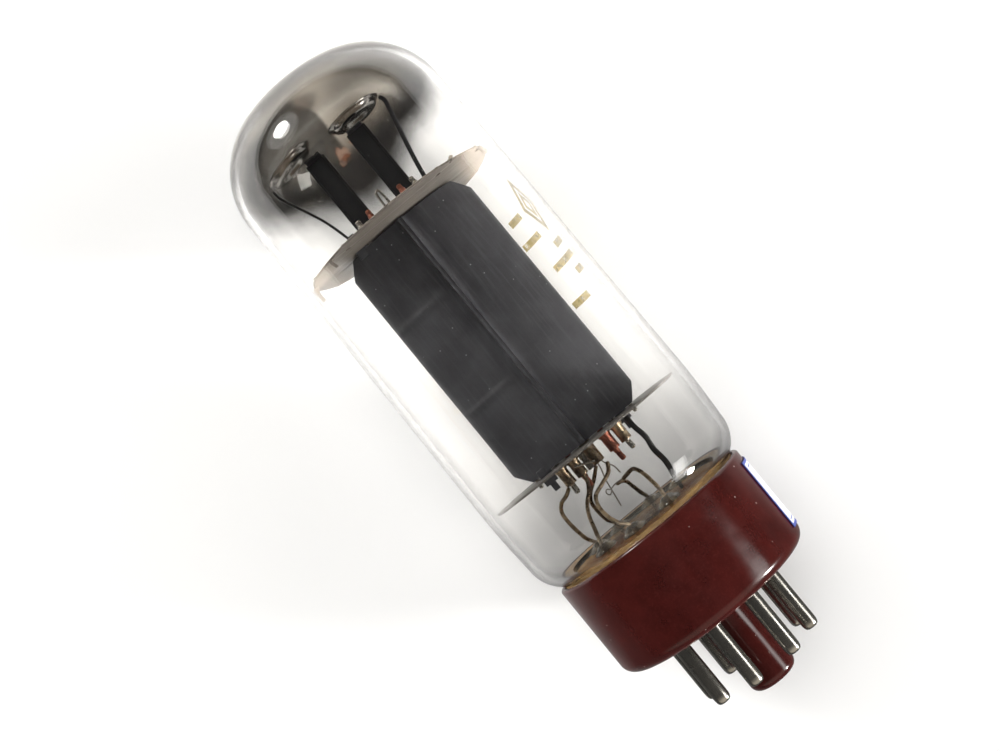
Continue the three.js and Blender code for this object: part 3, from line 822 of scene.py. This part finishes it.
def build_base():
    material = phenolic_material()
    edge, radius, rim = BASE.edge, BASE.radius, BASE.rim
    outside = [(0, 0), *arc(radius - edge, edge, edge, -90, 0, 14),
               *[(radius, z) for z in evenly(edge, rim - 0.45, 6)[1:]],
               *arc(radius - 0.4, rim - 0.4, 0.4, 0, 90, 5)]
    inside = [(BASE.bore + 0.1, rim), (BASE.bore, rim - 0.15), (BASE.bore, BASE.floor),
              (0, BASE.floor)]
    cup = piece("base", lathe([*outside, *inside], 192), material, ["base_shell"], 35)
    mouth, neck = PIN.radius + 0.5, PIN.radius + 0.12
    hole = lathe([(0, -1), (mouth, -1), (mouth, 0.35), (neck, 0.5), (neck, 3), (0, 3)], 28)
    for index in range(PIN.count):
        drill(cup, at_pin(hole, index))

    low, r, tip = -KEY.length, KEY.radius, KEY.round
    profile = [(0, low), (r - tip - 0.6, low + 0.05), *arc(r - tip, low + tip, tip, -86, 0, 12),
               (r, -6), (r, -0.5), (r + 0.12, -0.12), (r + 0.35, 0.05), (r + 0.35, 1), (0, 1)]
    reach = r + KEY.rib_reach
    rib = slab((KEY.rib_width, reach, KEY.length - 0.6), (0, -reach / 2, low / 2 + 0.5), 0.3)
    rib = moved(rib, Matrix.Rotation(math.radians(pin_angle(4.5)), 4, "Z"))
    piece("locating_key", joined(lathe(profile, 72), rib), material, sharp=40)


def build_pins():
    plating = metal_material("pin_plating", (0.56, 0.54, 0.49), (0.36, 0.345, 0.31), (0.16, 0.28),
                             stretch=(3, 3, 0.15), wear=0.006, rim=0.25)
    low = -PIN.length
    r = PIN.radius
    profile = [(0, low + 0.12), (r * 0.28, low + 0.1), (r * 0.42, low), (r * 0.62, low + 0.02),
               (r * 0.8, low + 0.14), (r * 0.92, low + 0.42), (r * 0.985, low + 0.85),
               (r, low + 1.3), (r, -5), (r, 2.5), (PIN.collar, 2.55), (PIN.collar, 3.15),
               (0.78, 3.2), (0.78, low + 2), (0, low + 2)]
    for index in range(PIN.count):
        piece(f"base_pin_{index + 1}", at_pin(lathe(profile, 36), index), plating,
              [f"pin_{index + 1}"], 40)


def build_cement():
    """A collar that follows the glass heel, and inside the mouth a lumpy floor."""
    reach = BULB.heel + 0.15
    profile = [(3.1, 9.6), (14.9, 9.6), (15.1, 13.4)]
    for share in evenly(0, 1, 24):
        r = 15.0 - 11.9 * share
        top = 14.3 - 0.1 * math.sin(share * 11) - 0.5 * share
        if r > BULB.mouth_radius:
            top = min(BULB.heel_z - math.sqrt(reach ** 2 - (r - HEEL_R) ** 2), 15.1)
        profile.append((r, top))
    vertices, faces = lathe(profile, 96, closed=True)
    for v in vertices:
        if v.z > 12 and v.xy.length < BULB.mouth_radius:
            v.z += min(0.0, 0.35 * noise.noise(v * 0.5) - 0.1)
    piece("cement_bead", (vertices, faces), cement_material(), ["cement_ring"], 60)


def build_sticker():
    """Paper that stands off a little at its near, upper and lower edges."""
    columns, rows, thick, curl = 36, 14, 0.12, 0.05
    near = BASE.radius + 0.06
    front, back, marks = [], [], []
    for i, angle in enumerate(evenly(STICKER.start, STICKER.start + STICKER.sweep, columns)):
        for j, z in enumerate(evenly(STICKER.low, STICKER.high, rows)):
            r = near + curl * (i == 0 or j in (0, rows))
            front.append(around(r + thick, angle, z))
            back.append(around(r, angle, z))
            marks.append((STICKER.width * i / columns, z - STICKER.low))
    obj = piece("sticker", sheet(front, back, rows + 1), sticker_material(), ["base_sticker"],
                50)
    layer = obj.data.uv_layers.new(name="UVMap")
    for loop in obj.data.loops:
        layer.data[loop.index].uv = marks[loop.vertex_index % len(marks)]


# ---------------- micas

def mica_outline():
    """Round sheet with a small pointed spike every 30 degrees and shallow flats between them."""
    pitch, half_spike, flat = 30, 1.6, 0.12
    radius = MICA.radius
    points = []
    for mid in range(0, 360, pitch):
        points += [around(radius, mid - half_spike), around(MICA.spike, mid),
                   around(radius, mid + half_spike)]
        for share in evenly(0, 1, 14)[1:-1]:
            angle = mid + half_spike + (pitch - 2 * half_spike) * share
            points.append(around(radius - flat * math.sin(math.pi * share), angle))
    return [(p.x, p.y) for p in points]


def build_micas():
    upper = mica_material("mica_sheet", (0.38, 0.315, 0.25), (0.44, 0.37, 0.30), 0.18)
    lower = mica_material("mica_sheet_low", (0.20, 0.185, 0.175), (0.34, 0.32, 0.30), 0.15)
    posts = [(POST["control"], 0.7), (POST["screen"], 0.7), (POST["suppressor"], 0.6)]
    holes = [circle(radius, side * x) for x, radius in posts for side in (-1, 1)]
    holes.append(circle(1.15))
    half_wide, half_tall = 1.25, 0.55
    for side in (-1, 1):
        holes.append([(side * TAB.x + x * half_wide, side * TAB.y + y * half_tall)
                      for x, y in ((-1, -1), (1, -1), (1, 1), (-1, 1))])
    holes += [circle(0.45, 13 * math.sin(a), 13 * math.cos(a), 14) for a in (0.6, 2.5, 3.8, 5.7)]
    top, bottom = (plate(mica_outline(), holes, z - MICA.thick / 2, z + MICA.thick / 2)
                   for z in (MICA.high, MICA.low))
    spikes = []
    for angle, drop in ((-86, -2.2), (-80, -1.4), (-42, -1.5), (40, 0.5), (66, -0.9), (84, -0.5)):
        foot = around(15.2, angle, MICA.high)
        bend = around(MICA.radius, angle, MICA.high + drop * 0.2)
        tip = around(15.95, angle + 1.5, MICA.high + drop)
        spikes.append(wire([foot, bend, tip], 0.22, 8, 4, (1.3, 0.6)))
    piece("top_mica_sheet", joined(top, *spikes), upper, ["top_mica"], 40)
    piece("bottom_mica_sheet", bottom, lower, ["bottom_mica"], 40)


# ---------------- anode

def anode_plan(side):
    """Outer line of one half in plan, from the front flange round the side to the rear one."""
    depth, half, seam = ANODE.depth, ANODE.half, ANODE.seam
    front = [(0.34, -depth - seam), (0.36, -depth - 0.45), (0.62, -depth - 0.08), (1.3, -depth),
             (2.4, -depth), (3.4, -depth * 0.985), (4.6, -depth * 0.925), (6.0, -depth * 0.82),
             (7.4, -depth * 0.70), (8.6, -depth * 0.545), (9.6, -depth * 0.39),
             (10.3, -depth * 0.26), (10.75, -0.75), (half, -0.35)]
    plan = [*front, *[(x, -y) for x, y in reversed(front)]]
    dense = []
    for (x0, y0), (x1, y1) in zip(plan, plan[1:]):
        count = max(1, round(math.hypot(x1 - x0, y1 - y0) / 0.45))
        dense += list(zip(evenly(x0, x1, count), evenly(y0, y1, count)))[:-1]
    dense.append(plan[-1])
    for _ in range(2):
        rounded = [((a[0] + 2 * b[0] + c[0]) / 4, (a[1] + 2 * b[1] + c[1]) / 4)
                   for a, b, c in zip(dense, dense[1:], dense[2:])]
        dense = [dense[0], *rounded, dense[-1]]
    return [(side * x, y) for x, y in dense]


def anode_relief(side, x, y, z):
    """How far a half's sheet stands out: slow waves, two pressed ribs and two creases."""
    out = 0.07 * noise.noise(Vector((x * 0.16, y * 0.1, z * 0.07 + side * 9)))
    if y * side > 0.6 and abs(x) > 1.5:
        fade = min(1.0, (abs(x) - 1.5) / 0.9)
        for share in (0.3, 0.675):
            rib = ANODE.high - (ANODE.high - ANODE.low) * share
            out += 0.17 * fade * math.exp(-((z - rib) / 0.42) ** 4)
    if side < 0 and y < 0:
        for depth, place, width in ((0.09, -4.4, 0.35), (0.06, -2.0, 0.3)):
            out -= depth * math.exp(-((x - place) / width) ** 2)
    return out


def build_anode():
    carbon = carbon_material("anode_carbon", (0.036, 0.036, 0.040), (0.016, 0.016, 0.018))
    low, high, rows = ANODE.low, ANODE.high, 110
    for side, node in ((-1, "anode_left_half"), (1, "anode_right_half")):
        plan = anode_plan(side)
        outer, inner = [], []
        for i, (x, y) in enumerate(plan):
            x0, y0 = plan[max(i - 1, 0)]
            x1, y1 = plan[min(i + 1, len(plan) - 1)]
            outward = Vector((y1 - y0, x0 - x1, 0)).normalized() * side
            over = max(0.0, abs(x) - (ANODE.half - ANODE.clip_wide)) / ANODE.clip_wide
            clip = ANODE.clip_tall * min(1.0, over)
            for z in evenly(low + clip, high - clip, rows):
                point = Vector((x, y, z)) + outward * anode_relief(side, x, y, z)
                outer.append(point)
                inner.append(point - outward * ANODE.sheet)
        tabs = []
        for z, way in ((low, -1), (high, 1)):
            x, y = side * TAB.x, side * TAB.y
            tabs.append(slab((2, 0.45, 2.6), (x, y, z + way * 0.4), 0.1))
            tabs.append(slab((0.95, 0.42, 2.8), (x, y, z + way * 1.5), 0.12))
        half = joined(sheet(outer, inner, rows + 1), *tabs)
        piece(f"{node}_sheet", half, carbon, [node], 32)
    welds = [slab((0.5, 0.16, 0.7), (0, y, z), 0.07)
             for y in (-5.15, 5.15) for z in (33, 41.5, 50, 58.5, 67)]
    piece("anode_welds", joined(*welds), carbon)


# ---------------- grids, cathode and heater

def winding(post, minor, turns):
    """Grid wire wound in an oval round the two posts."""
    steps, strand, margin = 18, 0.045, 1.4
    heights = evenly(MICA.low + margin, MICA.high - margin, turns * steps)
    path = []
    for i, z in enumerate(heights):
        a = 2 * math.pi * i / steps
        path.append(Vector((post * math.cos(a), minor * math.sin(a), z)))
    return tube(path, strand, 5)


def grid(post, radius, minor, low, high, turns):
    """Winding and two posts, pinched flat at both ends."""
    shapes = [winding(post, minor, turns)]
    for side in (-1, 1):
        x, lean = side * post, 0.12 * side
        shapes.append(rod(radius, low + 1.2, high - 0.6, x))
        shapes.append(wire([(x, 0, low + 1.5), (x + lean * 0.3, 0, low + 0.7), (x + lean, 0, low)],
                           radius * 0.85, 14, 5, (1, 0.55)))
        shapes.append(wire([(x, 0, high - 1), (x - lean * 0.4, 0, high - 0.4),
                            (x - lean * 0.6, 0, high)], radius * 0.8, 14, 5, (1, 0.6)))
    return joined(*shapes)


def build_electrodes():
    copper = metal_material("copper_post", (0.40, 0.16, 0.11), (0.20, 0.07, 0.05), (0.25, 0.42))
    nickel = metal_material("nickel_bright", (0.50, 0.475, 0.43), (0.24, 0.22, 0.19), (0.2, 0.38))
    dull = metal_material("nickel_brown", (0.34, 0.265, 0.18), (0.10, 0.07, 0.05), (0.2, 0.4),
                          tint=(0.50, 0.39, 0.26), scale=1.6, rim=0.5)
    for name, metal, radius, minor, low, high, turns, slot in (
            ("control", copper, 0.5, 1.6, 24.0, 75.2, 46, "copper_post"),
            ("screen", nickel, 0.5, 2.5, 24.4, 74.9, 46, "nickel_bright"),
            ("suppressor", nickel, 0.4, 3.4, 28.2, 72.2, 16, "nickel_bright")):
        shape = grid(POST[name], radius, minor, low, high, turns)
        piece(f"{name}_grid_wires", shape, metal, [f"{name}_grid"])
    sleeve = [(0.75, 26), (0.82, 25.95), (0.95, 26.05), (0.95, 40), (0.95, 73.45), (0.85, 73.6),
              (0.75, 73.5), (0.75, 60)]
    piece("cathode_tube", lathe(sleeve, 32, closed=True), dull, ["cathode_sleeve"])
    heater = [
        wire([(-1.6, -0.3, 19.2), (-1.2, -0.2, 21.8), (-0.9, 0, 23.6), (-0.3, 0, 26), (-0.3, 0, 68)],
             0.11, 8, 2),
        wire([(1.35, -0.2, 22.9), (1.2, -0.1, 24.2), (0.3, 0, 26), (0.3, 0, 68)], 0.11, 8, 2),
        wire([(-0.3, 0, 67.8), (-0.25, 0, 68.4), (0.25, 0, 68.4), (0.3, 0, 67.8)], 0.11, 8, 5),
        wire([(-1.25, -0.35, 21.9), (-1.75, -0.4, 22.3), (-2.1, -0.4, 21.9), (-1.8, -0.4, 21.4),
              (-1.3, -0.3, 21.7)], 0.09, 8, 6),
        wire([(-1.3, -0.3, 21.9), (-0.4, -0.4, 22.15), (0.9, -0.5, 22.1)], 0.09, 8, 3),
    ]
    piece("heater_wires", joined(*heater), ceramic_material(), ["heater"])
    stay = wire([(-0.45, -1.6, 71.25), (-0.4, -1.6, 75), (-0.25, -1.6, 76), (0.15, -1.6, 76.1),
                 (0.35, -1.6, 75.2), (0.4, -1.6, 71.25)], 0.2, 12, 5)
    piece("cathode_stay_wire", stay, nickel, ["cathode_stay"])
    clip = [(0.66, 26), (0.85, 25.95), (0.9, 26.15), (0.86, 26.5), (0.86, 28.2), (1.05, 28.5),
            (1.05, 28.74), (0.66, 28.74)]
    for name in ("control", "screen"):
        for side, way in (("left", -1), ("right", 1)):
            metal = copper if (name, side) == ("control", "right") else dull
            x = way * POST[name]
            tube_end = moved(lathe(clip, 24, closed=True), Matrix.Translation((x, 0, 0)))
            shape = joined(tube_end, slab((0.28, 0.5, 2.3), (x, -1.0, 27.3)))
            piece(f"{name}_clip_{side}_sleeve", shape, metal, [f"{name}_clip_{side}"])
    tab = slab((1.5, 0.16, 3.0), (-1.2, 1.9, 27.3), 0.05)
    ribbon = wire([(-3.3, -1.2, 27.7), (-2.2, -1.3, 27.3), (-0.4, -1.3, 26.5)], 0.16, 8, 4,
                  (1, 0.35))
    piece("cathode_tabs", joined(tab, ribbon), nickel)
    return dull


# Each lead's pin, counted from 0, and its route above the stem.
LEADS = {
    "screen_lead": (6, [(-8.4, 2, 18), (-8.8, 1.6, 20), (-9, 1.2, 22.4), (-8.8, 0.9, 23.8),
                        (-8, 0.4, 24.8), (-6.8, -0.2, 25.2), (-5.7, -0.6, 25.9)]),
    "control_lead": (7, [(-6.8, -3.6, 18), (-6.4, -3.4, 19.6), (-5.95, -3.1, 21.1),
                         (-5.1, -2.7, 22.6), (-3.9, -2.2, 23.7), (-3.1, -1.6, 24.9),
                         (-2.9, -1.2, 26)]),
    "suppressor_lead": (5, [(-4.5, 6.2, 18), (-4.8, 5, 20), (-4.7, 4, 22), (-3.9, 3, 23.2),
                            (-2.3, 2.2, 24.4), (-0.7, 1.6, 25.8)]),
    "cathode_lead": (0, [(-3.2, -6.6, 17.8), (-3.9, -5.8, 19.6), (-4, -5, 21.6), (-3.4, -4.2, 22.8),
                         (-1.6, -3.2, 23.5), (0.1, -2.3, 24.2), (0.9, -1.7, 25.4)]),
    "heater_lead_rear": (4, [(1.9, 6.6, 18.2), (1.5, 5, 20), (1.2, 3.2, 21.2), (0.6, 1.4, 21.8),
                             (-0.2, 0.9, 21.9)]),
    "heater_lead_front": (1, [(4, -5.6, 18.2), (3.8, -4.2, 20.4), (3.4, -2.4, 21.8),
                              (2.9, -1.2, 22.3), (2, -0.9, 22.2), (0.9, -0.8, 22)]),
}
ANODE_LEAD_PIN = 3
LEAD_PINS = [pin for pin, _ in LEADS.values()] + [ANODE_LEAD_PIN]


def lead_tail(index):
    """The lower part of a lead, from inside its pin up through its bead."""
    in_pin = around(PIN.circle, pin_angle(index))
    in_stem = around(STEM.circle, pin_angle(index))
    return [(at.x, at.y, z) for at, z in ((in_pin, -2), (in_pin, 5), (in_stem, 9),
                                          (in_stem, 13.5), (in_stem, 16.6))]


def build_leads(dull, black):
    for name, (pin, route) in LEADS.items():
        shape = wire([*lead_tail(pin), *route], 0.3, 14, uneven=0.08)
        piece(f"{name}_wire", shape, dull, [name])
    tail = lead_tail(ANODE_LEAD_PIN)
    x, y, _ = tail[-1]
    shank = wire([*tail[:-1], (x, y, 17.4)], 0.3, 14)
    blade = wire([(x + 0.1, y, 17), (7.5, 3.3, 20), (7.25, 2.5, 22.3), (7.45, 1.8, 24.6),
                  (7.1, 1.7, 26.6), (7.1, 2.2, 28.6)], 0.42, 14, 3, (1, 0.35), 0.1)
    piece("anode_lead_strip", joined(shank, blade), black, ["anode_lead"])


# ---------------- getters

def getter_strip(x, top, reach):
    """Upright strip with folded edges, a sole on the mica and an arm that carries the dish."""
    foot, width, y = STRIP.foot, STRIP.width, STRIP.y
    middle = (top + foot) / 2
    folds = [slab((0.3, 0.55, top - foot - 0.6), (x + way, y - 0.22, middle), 0.1)
             for way in (0.12 - width / 2, width / 2 - 0.12)]
    return joined(slab((width, STRIP.thick * 0.6, top - foot), (x, y, middle)), *folds,
                  slab((width, 1.8, 0.3), (x, y + 0.8, foot + 0.2)),
                  slab((width * 0.8, reach + 0.4, 0.3), (x, y - reach / 2, top)))


def build_getters():
    black = carbon_material("getter_strip_metal", (0.009, 0.009, 0.010), (0.004, 0.004, 0.0045),
                            (0.34, 0.5), 0.25)
    dish = metal_material("dish_nickel", (0.30, 0.285, 0.265), (0.16, 0.152, 0.142), (0.10, 0.2),
                          stretch=(1, 1, 1), wear=0.002)
    pan = [(0, 0.45), (1.3, 0.46), (1.75, 0.36), (2.1, 0.05), (2.4, 0.0), (3.5, 0.0), (3.75, 0.12),
           (4.0, 0.5), (4.12, 0.66), (4.4, 0.74), (4.58, 0.84), (4.62, 0.95), (4.55, 1.06),
           (4.3, 1.1), (4.0, 1.07), (3.85, 0.95), (3.62, 0.5), (3.4, 0.34), (2.6, 0.31),
           (2.3, 0.36), (2.0, 0.66), (1.6, 0.76), (0, 0.76)]
    for side, x, y, tilt, strip_x, top in (("left", -7.3, 1.5, -13, -4.3, 86.6),
                                           ("right", 4.5, 2.5, 0, 3.3, 86.4)):
        turn = Matrix.Translation((x, y, 87)) @ Matrix.Rotation(math.radians(tilt), 4, "Y")
        piece(f"getter_dish_{side}_pan", moved(lathe(pan, 72), turn), dish,
              [f"getter_dish_{side}"], 50)
        piece(f"getter_strip_{side}_sheet", getter_strip(strip_x, top, STRIP.y - y), black,
              [f"getter_strip_{side}"], 40)
    left = wire([(-11.8, 0.9, 86.1), (-11.7, 0.7, 85), (-11.1, 0.6, 83.4), (-8.6, 0.6, 77.6),
                 (-7, 0.6, 71.25)], 0.2)
    piece("getter_brace_left_wire", left, black, ["getter_brace_left"])
    right = wire([(9.0, 1.8, 87.3), (9.35, 1.5, 86.4), (9.0, 1.5, 84.4), (7.3, 1.5, 77),
                  (6.3, 1.5, 71.25)], 0.34, section=(1, 0.55))
    hook = wire([(6.6, 1.2, 71.3), (6.0, 1.1, 71.7), (5.6, 1.1, 72.2)], 0.2, 10, 4)
    piece("getter_brace_right_strip", joined(right, hook), black, ["getter_brace_right"])
    return black


# ---------------- stage

def build_stage():
    """Flat table under the lying tube, facing -Y."""
    bm = bmesh.new()
    upright = Matrix.Translation((0, TABLE.y, 0)) @ Matrix.Rotation(math.radians(90), 4, "X")
    bmesh.ops.create_grid(bm, x_segments=TABLE.squares, y_segments=TABLE.squares,
                          size=TABLE.half, matrix=upright)
    mesh = bpy.data.meshes.new("table_top")
    bm.to_mesh(mesh)
    bm.free()
    mesh.materials.append(stage_material())
    placed("table_top", mesh)


build_world()
build_lights()
build_stage()
build_glass()
build_film()
build_stem()
build_gilt_mark()
build_base()
build_pins()
build_cement()
build_sticker()
build_micas()
build_anode()
DULL = build_electrodes()
BLACK = build_getters()
build_leads(DULL, BLACK)
